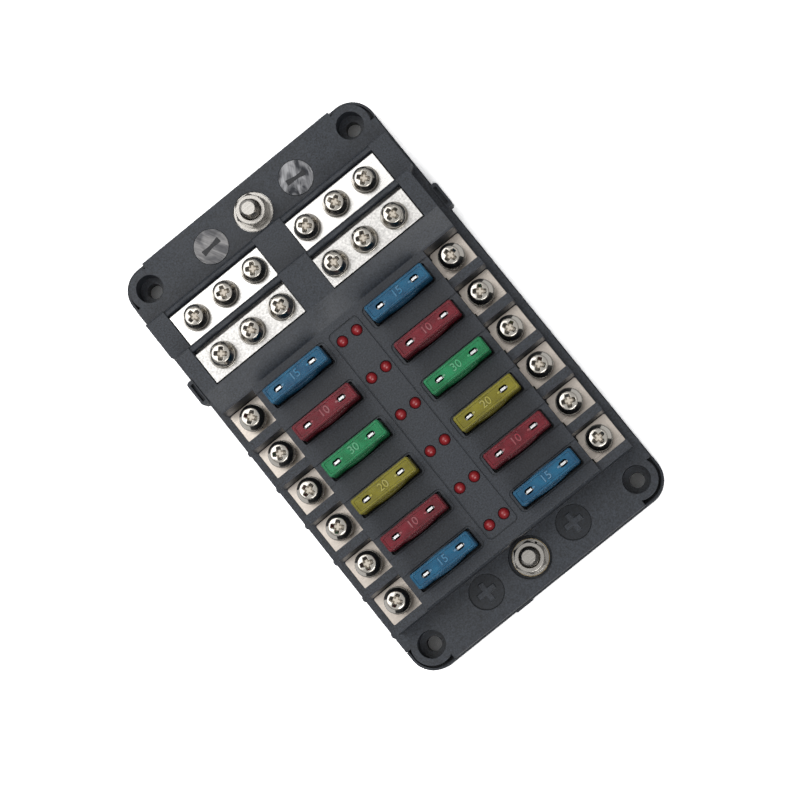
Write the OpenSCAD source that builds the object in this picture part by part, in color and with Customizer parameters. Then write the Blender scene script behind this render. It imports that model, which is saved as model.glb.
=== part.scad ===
// Twelve way blade fuse box with a stepped negative bus, cover taken off.
// Frame: millimetres, +Z up, +Y towards the negative end, origin under the middle of the base.

/* [Fuse bank] */
// Distance from one fuse row to the next
row_pitch = 12.5; // [12:0.1:14.5]
// Length of a fuse case
fuse_l = 19.1; // [18.6:0.1:20]
// Thickness of a fuse case at its head
fuse_t = 4.7; // [4.2:0.1:5.2]
// How far a fuse case's belly swells past its head on each side
belly = 0.45; // [0.2:0.05:0.6]
// Height of a fuse case
fuse_h = 12.5; // [11.5:0.1:14]
// How far a fuse case stands above the fuse deck
fuse_stand = 8; // [6:0.1:9]
// Width of one blade
blade_w = 5.2; // [4.8:0.1:5.4]
// Thickness of a blade
blade_t = 0.65; // [0.5:0.05:0.8]
// Length of the blade below the case
blade_l = 6; // [5:0.1:6.5]
// Distance between the middles of a fuse's two blades
blade_pitch = 11.8; // [11.2:0.1:12.4]
// Room round a fuse case in its socket, on each side
socket_gap = 0.25; // [0.15:0.05:0.4]
// Width of the shallow rebate round a socket
rebate_w = 7.1; // [6.7:0.1:8]
// Depth of the shallow rebate
rebate_d = 0.5; // [0.3:0.1:0.8]

/* [Lamp strip] */
// Width of the strip between the two fuse columns
strip_w = 10; // [9.6:0.1:13]
// Distance between the two lamps of a row
lamp_pitch = 4.9; // [4.2:0.1:5.4]
// Diameter of a lamp
lamp_d = 3; // [2.6:0.1:3.4]
// How far a lamp's dome stands above the fuse deck
lamp_stand = 1.1; // [0.6:0.1:1.6]
// Thickness of the lamp board
board_t = 1.6; // [1:0.1:2]

/* [Output terminals] */
// Length of a terminal plate, across the box
plate_l = 10; // [9.4:0.1:12]
// Width of a terminal plate, along the box
plate_w = 9.2; // [8.6:0.1:9.4]
// Thickness of the terminal sheet
plate_t = 1; // [0.8:0.1:1.2]
// Height of the plates above the end decks
plate_rise = 3.5; // [2.5:0.1:5]
// Height of the walls between the terminals above the end decks
divider_rise = 10.5; // [9:0.1:12]
// Width of the ledge outside the terminals
ledge_w = 2.1; // [1.6:0.1:3]

/* [Negative bus] */
// Length of the sloping shoulder between the fuse bank and the upper step
shoulder_l = 6.5; // [5.5:0.1:8]
// Depth of a bus step, from its fold to its back edge
step_l = 9.5; // [9.1:0.1:11]
// Height of the lower step above the end decks
lower_rise = 8.3; // [7.5:0.1:9.5]
// Height of the upper step above the end decks
upper_rise = 15.8; // [15:0.1:16.8]
// Length of one half of a bus step, across the box
step_w = 30.3; // [29:0.1:31.2]
// Half the width of the spine between the left and right steps
spine_half = 4.8; // [4:0.1:5.6]
// Distance between two bus screws
bus_screw_pitch = 10.05; // [9.4:0.05:10.3]
// Thickness of the bus sheet
bus_t = 1.5; // [1.2:0.1:1.8]

/* [Housing] */
// Height of the end decks above the surface it stands on
deck_z = 12; // [11.8:0.1:14]
// Height of the fuse deck above the end decks
bank_rise = 13.2; // [12.6:0.1:14.2]
// Length of the deck at the positive end
front_deck_l = 13.9; // [13.4:0.1:18]
// Length of the deck at the negative end
back_deck_l = 15.3; // [14.9:0.1:20]
// Thickness of the base plate
base_t = 2; // [1.5:0.1:3]
// Height of the base flange above the surface it stands on
flange_z = 4; // [3.5:0.1:5]
// How far the base flange stands out past the walls
lip = 0.4; // [0.2:0.1:1]
// Thickness of the side walls
wall = 2; // [1.6:0.1:2.6]

/* [Mounting holes] */
// Diameter of a mounting hole
mount_d = 4.2; // [3.6:0.1:4.8]
// Diameter of the counterbore over a mounting hole
counterbore_d = 7.7; // [7:0.1:8.4]
// Distance from a hole's middle to the two outer faces
mount_inset = 6.8; // [6.8:0.1:8]
// Radius of the raised deck round a mounting hole
boss_r = 5.8; // [5.4:0.1:6.2]

/* [Studs and screws] */
// Diameter of the power studs
stud_d = 5; // [4:0.1:5.4]
// Distance from a stud's middle to the end of the box
stud_inset = 8.4; // [8.2:0.1:8.8]
// Width of a stud nut across its flats
nut_af = 8; // [7.6:0.1:9]
// Height of a stud nut
nut_h = 4; // [3.5:0.1:5]
// Diameter of the flat washer under the negative nut
washer_d = 10.8; // [10.2:0.1:11.2]
// Diameter of the flat washer under the positive nut, in its recess
recess_washer_d = 9.9; // [9.4:0.1:10.6]
// Diameter of the clamp screws' threads
screw_d = 4; // [3.5:0.1:4.4]
// Diameter of a clamp screw's head
head_d = 7.2; // [6.6:0.1:7.4]
// Height of a clamp screw's head
head_h = 2.9; // [2.5:0.1:3.2]
// Diameter of the captive washer on a clamp screw
captive_d = 7.5; // [7.4:0.1:7.8]

/* [Hidden] */
$fn = 48;
rows = 6;
sides = [-1, 1];
// Running gap between pieces that slide or turn, and gap between pieces that only seat
run = 0.08;
seat = 0.05;
thread_gap = 0.06;

// Heights
lower_z = deck_z + lower_rise;
upper_z = deck_z + upper_rise;
bank_z = deck_z + bank_rise;
plate_z = deck_z + plate_rise;
divider_z = deck_z + divider_rise;
proud = 0.3;
lower_top = lower_z - proud;
upper_top = upper_z - proud;
fuse_top = bank_z + fuse_stand;
fuse_foot = fuse_top - fuse_h;
blade_tip = fuse_foot - blade_l;
deck_skin = 3;
cavity_z = deck_z - deck_skin + seat;
bus_top = deck_z - deck_skin;
socket_floor_t = 1.3;
socket_z = fuse_foot - seat;
chamber_top = socket_z - socket_floor_t;

// Sizes across the box
socket_margin = 2.3;
slot_l = fuse_l + 2 * socket_gap + 0.4;
slot_w = fuse_t + 2 * belly + 2 * socket_gap;
fuse_x = strip_w / 2 + socket_margin + slot_l / 2;
pocket_wall = 2;
plate_gap = 0.3;
pocket_x = fuse_x + slot_l / 2 + pocket_wall;
plate_x = pocket_x + plate_gap;
plate_end_x = plate_x + plate_l;
bank_half = plate_end_x + plate_gap;
body_half = bank_half + ledge_w;
screw_x = plate_x + 0.47 * plate_l;
inner_blade_x = fuse_x - blade_pitch / 2;
outer_blade_x = fuse_x + blade_pitch / 2;
step_gap = 0.3;
step_x = spine_half + step_gap / 2;
step_end_x = step_x + step_w;
lower_half = max(step_end_x + 4, body_half - 0.4);
bus_screw_x = step_x + 4.2;

// Sizes along the box, from the positive end
row_margin = 7.3;
pocket_w = plate_w + 0.4;
back_row_margin = pocket_w / 2 + 0.9;
ramp_l = shoulder_l - 0.4;
back_gap = 1;
upper_gap = 1.1;
lower_gap = 0.6;
ridge_t = 2.1;
bank_l = row_margin + (rows - 1) * row_pitch + back_row_margin;
upper_l = shoulder_l + step_l + upper_gap + ridge_t;
lower_l = back_gap + step_l + lower_gap + ridge_t;
body_l = front_deck_l + bank_l + upper_l + lower_l + back_deck_l;
body_w = 2 * body_half;
front_y = -body_l / 2;
bank_front_y = front_y + front_deck_l;
bank_back_y = bank_front_y + bank_l;
upper_step_y = bank_back_y + shoulder_l;
upper_fold_y = upper_step_y + step_l;
upper_back_y = bank_back_y + upper_l;
lower_fold_y = upper_back_y + back_gap + step_l;
lower_back_y = upper_back_y + lower_l;
positive_y = front_y + stud_inset;
negative_y = body_l / 2 - stud_inset;
upper_screw_y = upper_step_y + step_l / 2;
lower_screw_y = lower_fold_y - step_l / 2;
function row_y(i) = bank_front_y + row_margin + (rows - 1 - i) * row_pitch;
function divider_y(i) = row_y(i) - row_pitch / 2;
mount_x = body_half - mount_inset;
mount_y = body_l / 2 - mount_inset;

// Terminal chambers under a socket
chamber_w = blade_w + 1.4;
chamber_half_y = 3;
riser_x = pocket_x - 1 - plate_t - seat;
neck_w = 6;
neck_r = 0.4;

// Lamp board
board_z = bank_z - 5.2;
board_w = strip_w + 2;
board_margin = 4.5;

black = [0.13, 0.135, 0.15];
silver = [0.78, 0.77, 0.74];
brass = [0.72, 0.6, 0.36];
fuse_colours = [[0.1, 0.36, 0.6], [0.62, 0.1, 0.14], [0.1, 0.6, 0.3],
                [0.7, 0.66, 0.15], [0.62, 0.1, 0.14], [0.1, 0.36, 0.6]];

// Shared shapes

// A box from its lowest corner to its highest
module span(low, high) {
    translate(low) cube(high - low);
}

// A rectangle with round corners, centred
module round_rect(w, l, r) {
    square([w - 2 * r, l], center = true);
    square([w, l - 2 * r], center = true);
    for (sx = sides, sy = sides)
        translate([sx * (w / 2 - r), sy * (l / 2 - r)]) circle(r);
}

// A side profile drawn in the Y and Z directions, drawn out along X
module along_x(from, to) {
    translate([from, 0, 0]) rotate([90, 0, 90]) linear_extrude(to - from) children();
}

// A side profile drawn in the X and Z directions, drawn out along Y, centred
module along_y(w) {
    translate([0, w / 2, 0]) rotate([90, 0, 0]) linear_extrude(w) children();
}

// One quarter of a folded corner: the part of a ring in one quadrant
module fold(centre, inner_r, outer_r, quadrant) {
    translate(centre) intersection() {
        difference() {
            circle(outer_r);
            if (inner_r > 0) circle(inner_r);
        }
        translate([min(quadrant[0], 0) * outer_r, min(quadrant[1], 0) * outer_r])
            square(outer_r);
    }
}

// Repeats a child at each row of both columns, turned so that +X points outwards
module each_terminal() {
    for (side = sides, i = [0:rows - 1])
        translate([0, row_y(i), 0]) mirror([side < 0 ? 1 : 0, 0, 0]) children();
}

// Places of the bus screws: both steps, left and right, three to a step
bus_screw_places = [for (step = [[lower_screw_y, lower_z], [upper_screw_y, upper_z]],
                         side = sides, j = [0:2])
    [side * (bus_screw_x + j * bus_screw_pitch), step[0], step[1]]];

// Places of the screws that hold the base plate
base_screw_r = 1.45;
base_boss_r = 2.7;
base_screw_places = [for (side = sides, y = [divider_y(4), divider_y(0), lower_screw_y])
    [side * (body_half - wall - base_boss_r + 0.2), y]];
base_screw_l = 7.5;

// Housing

// The end decks' outline: the corners are cut back round the mounting holes
corner_cut = 2.5;
module deck_outline() {
    square([body_w, 2 * (mount_y - corner_cut)], center = true);
    square([2 * (mount_x - corner_cut), body_l], center = true);
    for (sx = sides, sy = sides) translate([sx * mount_x, sy * mount_y]) circle(boss_r);
}

lip_r = mount_inset + lip;
module lip_outline() {
    round_rect(body_w + 2 * lip, body_l + 2 * lip, lip_r);
}

// The raised rim that stands on the flange round each corner, and the slot
// between it and the raised deck, which goes down into the flange
rim_t = 0.7;
rim_h = 3.4;
module corner_rims() {
    difference() {
        linear_extrude(rim_h) lip_outline();
        translate([0, 0, -1]) linear_extrude(rim_h + 2)
            round_rect(body_w + 2 * lip - 2 * rim_t, body_l + 2 * lip - 2 * rim_t, lip_r - rim_t);
        for (a = [0, 1])
            translate([0, 0, rim_h / 2])
                cube(a == 0 ? [body_w * 2, 2 * (mount_y - corner_cut), rim_h * 2]
                            : [2 * (mount_x - corner_cut), body_l * 2, rim_h * 2], center = true);
    }
}

slot_floor = 0.6;
module corner_slots() {
    translate([0, 0, base_t + slot_floor]) linear_extrude(deck_z) difference() {
        round_rect(body_w + 2 * lip - 2 * rim_t, body_l + 2 * lip - 2 * rim_t, lip_r - rim_t);
        deck_outline();
    }
}

// The two steps and the fuse bank seen from the side
edge_cut = 0.5;
module steps_profile() {
    polygon([[bank_back_y, flange_z], [lower_back_y, flange_z],
             [lower_back_y, lower_top - edge_cut], [lower_back_y - edge_cut, lower_top],
             [upper_back_y, lower_top], [upper_back_y, flange_z]]);
}

module upper_profile() {
    polygon([[bank_front_y, flange_z], [upper_back_y, flange_z],
             [upper_back_y, upper_top - edge_cut], [upper_back_y - edge_cut, upper_top],
             [bank_back_y + ramp_l, upper_top], [bank_back_y, bank_z],
             [bank_front_y + edge_cut, bank_z], [bank_front_y, bank_z - edge_cut]]);
}

// The steps' outlines from above: the upper has round front corners,
// and the lower has its back corners cut off
corner_r = 1.5;
side_cut = lower_half - bank_half;
module upper_outline() {
    translate([-bank_half, bank_front_y - 1])
        square([2 * bank_half, upper_back_y - bank_front_y + 1 - corner_r]);
    translate([-bank_half + corner_r, upper_back_y - corner_r - 0.01])
        square([2 * (bank_half - corner_r), corner_r + 0.01]);
    for (sx = sides) translate([sx * (bank_half - corner_r), upper_back_y - corner_r])
        circle(corner_r);
}

module lower_outline() {
    polygon([[-bank_half, bank_back_y], [bank_half, bank_back_y],
             [bank_half, upper_back_y], [lower_half, upper_back_y + side_cut],
             [lower_half, lower_back_y + 1], [-lower_half, lower_back_y + 1],
             [-lower_half, upper_back_y + side_cut], [-bank_half, upper_back_y]]);
}

// Lug for the cover's hook, on the side wall
lug_l = 7.8;
lug_out = 1.65;
lug_strap = 0.75;
lug_depth = 2.5;
lug_top = deck_z + 0.6;
lug_low = flange_z + 1.5;
lug_y = upper_step_y + 3.7;
module cover_lug() {
    translate([body_half, lug_y, lug_low]) difference() {
        linear_extrude(lug_top - lug_low) difference() {
            round_rect(2 * lug_out, lug_l, 0.9);
            translate([-lug_out - 1, -lug_l]) square([lug_out + 0.6, 2 * lug_l]);
        }
        // The hook's catch is a blind pocket
        translate([lug_strap - 0.75, -(lug_l - 2.2) / 2, lug_top - lug_low - lug_depth])
            cube([lug_out - 2 * lug_strap + 0.75, lug_l - 2.2, lug_top]);
    }
}

// Half round rib on the side wall beside each divider
rib_r = 1.2;
module side_rib() {
    translate([body_half + lip - rib_r, 0, flange_z]) cylinder(r = rib_r, h = deck_z - flange_z);
}

// The open pocket over a terminal plate, with its lower ledge and slanted back wall
pocket_draft = 0.35;
module terminal_pocket() {
    span([pocket_x, -pocket_w / 2, plate_z - plate_t - seat], [bank_half, pocket_w / 2, bank_z + 5]);
    span([bank_half - 0.01, -pocket_w / 2, deck_z], [body_half + 3, pocket_w / 2, bank_z + 5]);
    along_x(pocket_x, body_half + 3)
        polygon([[pocket_w / 2 - 0.1, plate_z + 0.5], [pocket_w / 2 + pocket_draft, divider_z],
                 [pocket_w / 2 + pocket_draft, bank_z + 5], [pocket_w / 2 - 0.1, bank_z + 5]]);
}

// Room under a pocket for the clamp screw's end, and the slot for the plate's neck
screw_l = 8.5;
module terminal_hole() {
    translate([screw_x, 0, plate_z - screw_l - 0.5]) cylinder(d = screw_d + 0.5, h = screw_l);
    span([riser_x - 1, -neck_w / 2 - seat * 2, plate_z - plate_t - seat],
         [plate_x + 1, neck_w / 2 + seat * 2, plate_z + seat]);
    // Corner relief for the inside of the neck's bend
    span([riser_x, -neck_w / 2 - seat * 2, plate_z - plate_t - neck_r - seat],
         [riser_x + plate_t + neck_r + seat, neck_w / 2 + seat * 2, plate_z]);
}

// The socket of one fuse, with the chambers of its two clips
rebate_x = strip_w / 2 + socket_margin - 0.85;
module fuse_socket() {
    translate([fuse_x, 0, socket_z]) linear_extrude(bank_z) round_rect(slot_l, slot_w, 0.6);
    span([rebate_x + 1, -rebate_w / 2, bank_z - rebate_d], [pocket_x + 0.01, rebate_w / 2, bank_z + 1]);
    translate([rebate_x + 1.5, 0, bank_z - rebate_d]) linear_extrude(rebate_d + 1)
        round_rect(3, rebate_w, 1.4);
    for (x = [inner_blade_x, outer_blade_x])
        span([x - blade_w / 2 - 0.4, -1.2, chamber_top - 1], [x + blade_w / 2 + 0.4, 1.2, socket_z + 1]);
    span([inner_blade_x - chamber_w / 2, -chamber_half_y, cavity_z - 1],
         [inner_blade_x + chamber_w / 2, chamber_half_y, chamber_top]);
    span([outer_blade_x - chamber_w / 2, -chamber_half_y - 0.2, cavity_z - 1],
         [riser_x + plate_t + seat, chamber_half_y + 0.2, chamber_top]);
}

// Room for the lamps and their board, and the fine groove round the lamp strip
groove = 0.35;
module lamp_room() {
    board_low = row_y(rows - 1) - board_margin - seat;
    board_high = row_y(0) + board_margin + seat;
    span([-board_w / 2 - seat, board_low, cavity_z - 1], [board_w / 2 + seat, board_high, board_z + seat]);
    for (side = sides, i = [0:rows - 1]) translate([side * lamp_pitch / 2, row_y(i), board_z]) {
        cylinder(d = lamp_d + 0.2, h = bank_z);
        cylinder(d = lamp_d + 0.7, h = 1.1 + seat);
    }
    strip_l = (rows - 1) * row_pitch + 7.2;
    translate([0, (row_y(0) + row_y(rows - 1)) / 2, bank_z - groove]) linear_extrude(groove + 1)
        difference() {
            round_rect(strip_w, strip_l, 1.5);
            round_rect(strip_w - 2 * groove, strip_l - 2 * groove, 1.5 - groove);
        }
}

// Room for the folded negative bus, open above each step
ridge_drop = 0.9;
module bus_room() {
    for (side = sides) mirror([side < 0 ? 1 : 0, 0, 0]) {
        low = [spine_half, 0, cavity_z - 1];
        high = [step_end_x + step_gap, 0, upper_z + 5];
        difference() {
            span(low + [0, upper_step_y - step_gap, 0], high + [0, lower_back_y - ridge_t, 0]);
            // Ridge between the two steps, over the lower one
            span([0, upper_back_y - ridge_t, lower_z + seat],
                 [body_half, upper_back_y, upper_top - ridge_drop - ridge_t / 2]);
            translate([0, upper_back_y - ridge_t / 2, upper_top - ridge_drop - ridge_t / 2])
                rotate([0, 90, 0]) cylinder(d = ridge_t, h = body_half);
        }
        // The front wall is lower in front of each step, with a round top
        difference() {
            span([spine_half, lower_back_y - ridge_t - 1, lower_top - ridge_drop - ridge_t / 2],
                 [step_end_x + step_gap, lower_back_y + 1, upper_z]);
            translate([0, lower_back_y - ridge_t / 2, lower_top - ridge_drop - ridge_t / 2])
                rotate([0, 90, 0]) cylinder(d = ridge_t, h = body_half);
        }
    }
}

// The tongue's pocket under the deck and the strip that joins the two halves
tongue_half = 13;
tongue_top = deck_z - 1;
tongue_end_y = body_l / 2 - wall - 0.6;
strip_top = tongue_top + 1.2;
module tongue_room() {
    span([-tongue_half - 0.3, lower_fold_y - bus_t - 0.3, cavity_z - 1],
         [tongue_half + 0.3, tongue_end_y + 0.2, tongue_top + seat]);
    span([-spine_half - 1, lower_fold_y - bus_t - 0.3, cavity_z - 1],
         [spine_half + 1, lower_fold_y + 0.3, strip_top + seat]);
}

disc_d = 9.7;
disc_x = 14.9;
disc_t = 0.5;
disc_inset = stud_inset + 0.1;
recess_d = recess_washer_d + 1.9;
module housing() {
    color(black) difference() {
        union() {
            translate([0, 0, base_t]) linear_extrude(flange_z - base_t) lip_outline();
            translate([0, 0, flange_z]) linear_extrude(deck_z - flange_z) deck_outline();
            translate([0, 0, flange_z]) corner_rims();
            intersection() {
                along_x(-lower_half, lower_half) steps_profile();
                linear_extrude(upper_z) lower_outline();
            }
            intersection() {
                along_x(-bank_half, bank_half) upper_profile();
                linear_extrude(upper_z) upper_outline();
            }
            for (side = sides) mirror([side < 0 ? 1 : 0, 0, 0]) {
                cover_lug();
                for (i = [0:rows - 1]) translate([0, divider_y(i), 0]) side_rib();
            }
        }
        // The walls beside the terminals are lower than the fuse deck
        for (side = sides) mirror([side < 0 ? 1 : 0, 0, 0])
            span([pocket_x, bank_front_y - 1, divider_z],
                 [body_half, row_y(0) + pocket_w / 2, bank_z + 5]);
        each_terminal() {
            terminal_pocket();
            terminal_hole();
            fuse_socket();
        }
        corner_slots();
        lamp_room();
        bus_room();
        tongue_room();
        // Main cavity, open below, between the corner bosses
        difference() {
            union() {
                span([-body_half + wall, -mount_y + boss_r + 0.4, 0], [body_half - wall, mount_y - boss_r - 0.4, cavity_z]);
                span([-mount_x + boss_r + 1, front_y + wall, 0], [mount_x - boss_r - 1, -front_y - wall, cavity_z]);
            }
            for (p = base_screw_places) translate(p) cylinder(r = base_boss_r, h = cavity_z + 1);
        }
        for (p = base_screw_places) translate(p) cylinder(r = base_screw_r, h = base_screw_l + 0.5);
        // Mounting holes
        for (sx = sides, sy = sides) translate([sx * mount_x, sy * mount_y, 0]) {
            cylinder(d = mount_d, h = deck_z + 1);
            translate([0, 0, flange_z + 1]) cylinder(d = counterbore_d, h = deck_z);
        }
        // Stud holes and the round recesses of the polarity marks
        translate([0, positive_y, bus_top + flat_t * 0.8]) cylinder(d = recess_d, h = bank_z);
        translate([0, positive_y, base_t]) cylinder(d = recess_washer_d + 0.3, h = bank_z);
        translate([0, negative_y, base_t]) cylinder(d = washer_d + 0.3, h = bank_z);
        for (sx = sides, sy = sides)
            translate([sx * disc_x, sy * (body_l / 2 - disc_inset), deck_z - disc_t])
                cylinder(d = disc_d + 0.2, h = bank_z);
    }
}

// Base plate and its screws

pry_tab_x = 9.8;
pry_tab_w = 5.5;
module base_plate() {
    color(black) difference() {
        union() {
            linear_extrude(base_t) lip_outline();
            for (sy = sides) span([-pry_tab_x - pry_tab_w / 2, sy > 0 ? body_l / 2 - 2 : front_y - lip - 0.3, 0],
                                  [-pry_tab_x + pry_tab_w / 2, sy > 0 ? body_l / 2 + lip + 0.3 : front_y + 2, base_t]);
        }
        for (sx = sides, sy = sides) translate([sx * mount_x, sy * mount_y, -1])
            cylinder(d = mount_d, h = base_t + 2);
        for (p = base_screw_places) translate(p) {
            translate([0, 0, -1]) cylinder(r = base_screw_r, h = base_t + 2);
            translate([0, 0, -0.01]) cylinder(r1 = 2.75, r2 = base_screw_r, h = 1.4);
        }
    }
}

module base_screws() {
    color(silver) for (p = base_screw_places) translate([p[0], p[1], 0.15]) difference() {
        union() {
            cylinder(r1 = 2.6, r2 = base_screw_r - run, h = 1.2);
            cylinder(r = base_screw_r - run, h = base_screw_l);
        }
        for (a = [0, 90]) rotate(a) cube([2.6, 0.6, 1.6], center = true);
    }
}

// Bus bars

module positive_bus() {
    low = bus_top - bus_t;
    wide = inner_blade_x + chamber_w / 2 - 0.4;
    color(brass) difference() {
        union() {
            span([-wide, bank_front_y + 2, low], [wide, row_y(0) + 4, bus_top]);
            span([-9, front_y + wall + 0.6, low], [9, bank_front_y + 3, bus_top]);
        }
        translate([0, positive_y, low - 1]) cylinder(d = stud_d + 0.1, h = bus_t + 2);
        // Window under the lamp board, which also keeps the bus from the board's leads
        span([-3, row_y(rows - 1), low - 1], [3, row_y(0), bus_top + 1]);
    }
}

// The pressed sheet seen from the side: tongue, lower riser and step, upper riser and step
edge_r = 0.35;
module bus_profile() {
    translate([lower_fold_y - bus_t, tongue_top - bus_t])
        square([tongue_end_y - lower_fold_y + bus_t, bus_t]);
    step_profile(upper_fold_y - bus_t, lower_fold_y, tongue_top - bus_t, lower_z);
    step_profile(upper_step_y, upper_fold_y, lower_z - bus_t, upper_z);
}

// One riser and the step above it, with a round front edge
module step_profile(back, front, low, top) {
    translate([front - bus_t, low]) square([bus_t, top - low - edge_r]);
    translate([back, top - bus_t]) square([front - back - edge_r, bus_t]);
    translate([front - edge_r, top - edge_r]) circle(edge_r);
}

module negative_bus() {
    color(silver) difference() {
        along_x(-step_end_x, step_end_x) bus_profile();
        // The spine passes between the two halves above the strip that joins them
        span([-step_x, upper_step_y - 1, strip_top], [step_x, lower_fold_y + 1, upper_z + 1]);
        // The tongue is narrower than the steps
        for (side = sides) mirror([side < 0 ? 1 : 0, 0, 0])
            span([tongue_half, lower_fold_y + 0.01, 0], [step_end_x + 1, tongue_end_y + 1, upper_z]);
        translate([0, negative_y, 0]) cylinder(d = stud_d + 0.1, h = deck_z);
        for (p = bus_screw_places) translate([p[0], p[1], p[2] - bus_t - 1])
            cylinder(d = screw_d + 2 * thread_gap, h = bus_t + 2);
    }
}

// Studs, nuts and washers; seat_z is the top of the bus under the washer.
// Inside the nut a stud has its thread's core diameter.

flat_t = 1;
spring_t = 1.2;
spring_d = 9;
stud_tip = 0.5;
ring_gap = 0.4;
core_d = stud_d - 0.7;
plug_d = 9;
plug_h = 3;
module stud(seat_z, free_l) {
    nut_top = seat_z + flat_t + spring_t + nut_h;
    color(silver) {
        translate([0, 0, seat_z - bus_t - plug_h]) cylinder(d = plug_d, h = plug_h);
        translate([0, 0, seat_z - bus_t - 0.01]) cylinder(d = core_d, h = nut_top - seat_z + bus_t);
        translate([0, 0, nut_top - 0.01]) cylinder(d = stud_d, h = free_l - stud_tip);
        translate([0, 0, nut_top + free_l - stud_tip - 0.01])
            cylinder(d1 = stud_d, d2 = stud_d - 2 * stud_tip, h = stud_tip);
    }
}

module flat_washer(seat_z, d) {
    color(silver) translate([0, 0, seat_z]) difference() {
        cylinder(d = d, h = flat_t);
        translate([0, 0, -1]) cylinder(d = stud_d + ring_gap, h = flat_t + 2);
    }
}

// A split ring: the cut is a slanted slot
module spring_washer(seat_z) {
    color(silver) translate([0, 0, seat_z + flat_t]) difference() {
        cylinder(d = spring_d, h = spring_t);
        translate([0, 0, -1]) cylinder(d = stud_d + ring_gap, h = spring_t + 2);
        rotate(35) translate([spring_d / 2 - 1, 0, spring_t / 2]) rotate([30, 0, 0])
            cube([4, 0.5, 4], center = true);
    }
}

module stud_nut(seat_z) {
    color(silver) translate([0, 0, seat_z + flat_t + spring_t]) difference() {
        intersection() {
            cylinder(d = nut_af / cos(30), h = nut_h, $fn = 6);
            // Both faces of the nut are chamfered round
            union() {
                cylinder(d1 = nut_af - 0.2, d2 = nut_af + 3, h = 1);
                translate([0, 0, 1]) cylinder(d = nut_af + 3, h = nut_h - 2);
                translate([0, 0, nut_h - 1]) cylinder(d1 = nut_af + 3, d2 = nut_af - 0.2, h = 1);
            }
        }
        translate([0, 0, -1]) cylinder(d = core_d + 2 * thread_gap, h = nut_h + 2);
        translate([0, 0, nut_h - 0.5]) cylinder(d1 = core_d + 2 * thread_gap, d2 = stud_d + 0.94, h = 0.51);
    }
}

positive_free = 2.2;
negative_free = 4.2;
module at_positive() { translate([0, positive_y, 0]) children(); }
module at_negative() { translate([0, negative_y, 0]) children(); }

// Clamp screws: pan head, split washer and captive flat washer on one shank

captive_t = 0.8;
split_t = 1.2;
module clamp_screw() {
    head_z = captive_t + split_t;
    crown = head_h * 0.45;
    difference() {
        union() {
            translate([0, 0, -screw_l + captive_t]) cylinder(d = screw_d, h = screw_l);
            cylinder(d = captive_d, h = captive_t);
            translate([0, 0, captive_t]) cylinder(d = captive_d - 0.9, h = split_t);
            translate([0, 0, head_z]) cylinder(d = head_d, h = head_h - crown);
            // Crown of the head, a quarter round that runs into a flat top
            translate([0, 0, head_z + head_h - crown]) rotate_extrude() {
                square([head_d / 2 - crown, crown]);
                translate([head_d / 2 - crown, 0]) intersection() {
                    circle(crown);
                    square(crown);
                }
            }
        }
        // Cross recess
        translate([0, 0, head_z + head_h]) for (a = [0, 90]) rotate(a)
            cube([head_d * 0.55, 0.95, 3], center = true);
    }
}

module terminal_screws() {
    color(silver) each_terminal() translate([screw_x, 0, plate_z]) clamp_screw();
}

module bus_screws() {
    color(silver) for (p = bus_screw_places) translate(p) clamp_screw();
}

// Spring clips: two arms that meet a blade; foot_z is the top of the foot

clip_t = 0.7;
module clip_arm(foot_z) {
    touch = blade_t / 2 + run;
    waist_z = chamber_top - 2.6;
    polygon([[1.3, foot_z - 0.01], [1.3, foot_z + 2], [touch, waist_z - 0.6], [touch, waist_z + 0.6],
             [1.2, chamber_top - 0.3], [1.2 + clip_t, chamber_top - 0.4],
             [touch + clip_t, waist_z + 0.6], [touch + clip_t, waist_z - 0.6],
             [1.3 + clip_t, foot_z + 2], [1.3 + clip_t, foot_z - 0.01]]);
}

module clip_arms(foot_z) {
    along_x(-blade_w / 2, blade_w / 2) {
        clip_arm(foot_z);
        mirror([1, 0]) clip_arm(foot_z);
    }
}

foot_t = 0.8;
module feed_clips() {
    color(brass) each_terminal() translate([inner_blade_x, 0, 0]) {
        span([-blade_w / 2 - 0.3, -2.4, bus_top], [blade_w / 2 + 0.3, 2.4, bus_top + foot_t]);
        clip_arms(bus_top + foot_t);
    }
}

// One output terminal: the clamp plate, its folded neck and the clip of the outer blade
module output_terminal() {
    t = plate_t;
    r = neck_r;
    foot_z = bus_top + t;
    color(silver) {
        difference() {
            union() {
                translate([plate_x + plate_l / 2, 0, plate_z - t]) linear_extrude(t)
                    round_rect(plate_l, plate_w, 0.6);
                along_y(neck_w) neck_profile(t, r, foot_z);
            }
            translate([screw_x, 0, plate_z - t - 1]) cylinder(d = screw_d + 2 * thread_gap, h = t + 2);
        }
        translate([outer_blade_x, 0, 0]) clip_arms(foot_z);
    }
}

// The neck turns down behind the pocket's wall and in again as the clip's foot
module neck_profile(t, r, foot_z) {
    foot_x = outer_blade_x - blade_w / 2 - 0.3;
    translate([riser_x + t + r, plate_z - t]) square([plate_x - riser_x + 0.5 - t - r, t]);
    fold([riser_x + t + r, plate_z - t - r], r, r + t, [-1, 1]);
    translate([riser_x, foot_z + r]) square([t, plate_z - t - foot_z - 2 * r]);
    fold([riser_x - r, foot_z + r], r, r + t, [1, -1]);
    translate([foot_x, foot_z - t]) square([riser_x - r - foot_x, t]);
}

// Fuses

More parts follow.
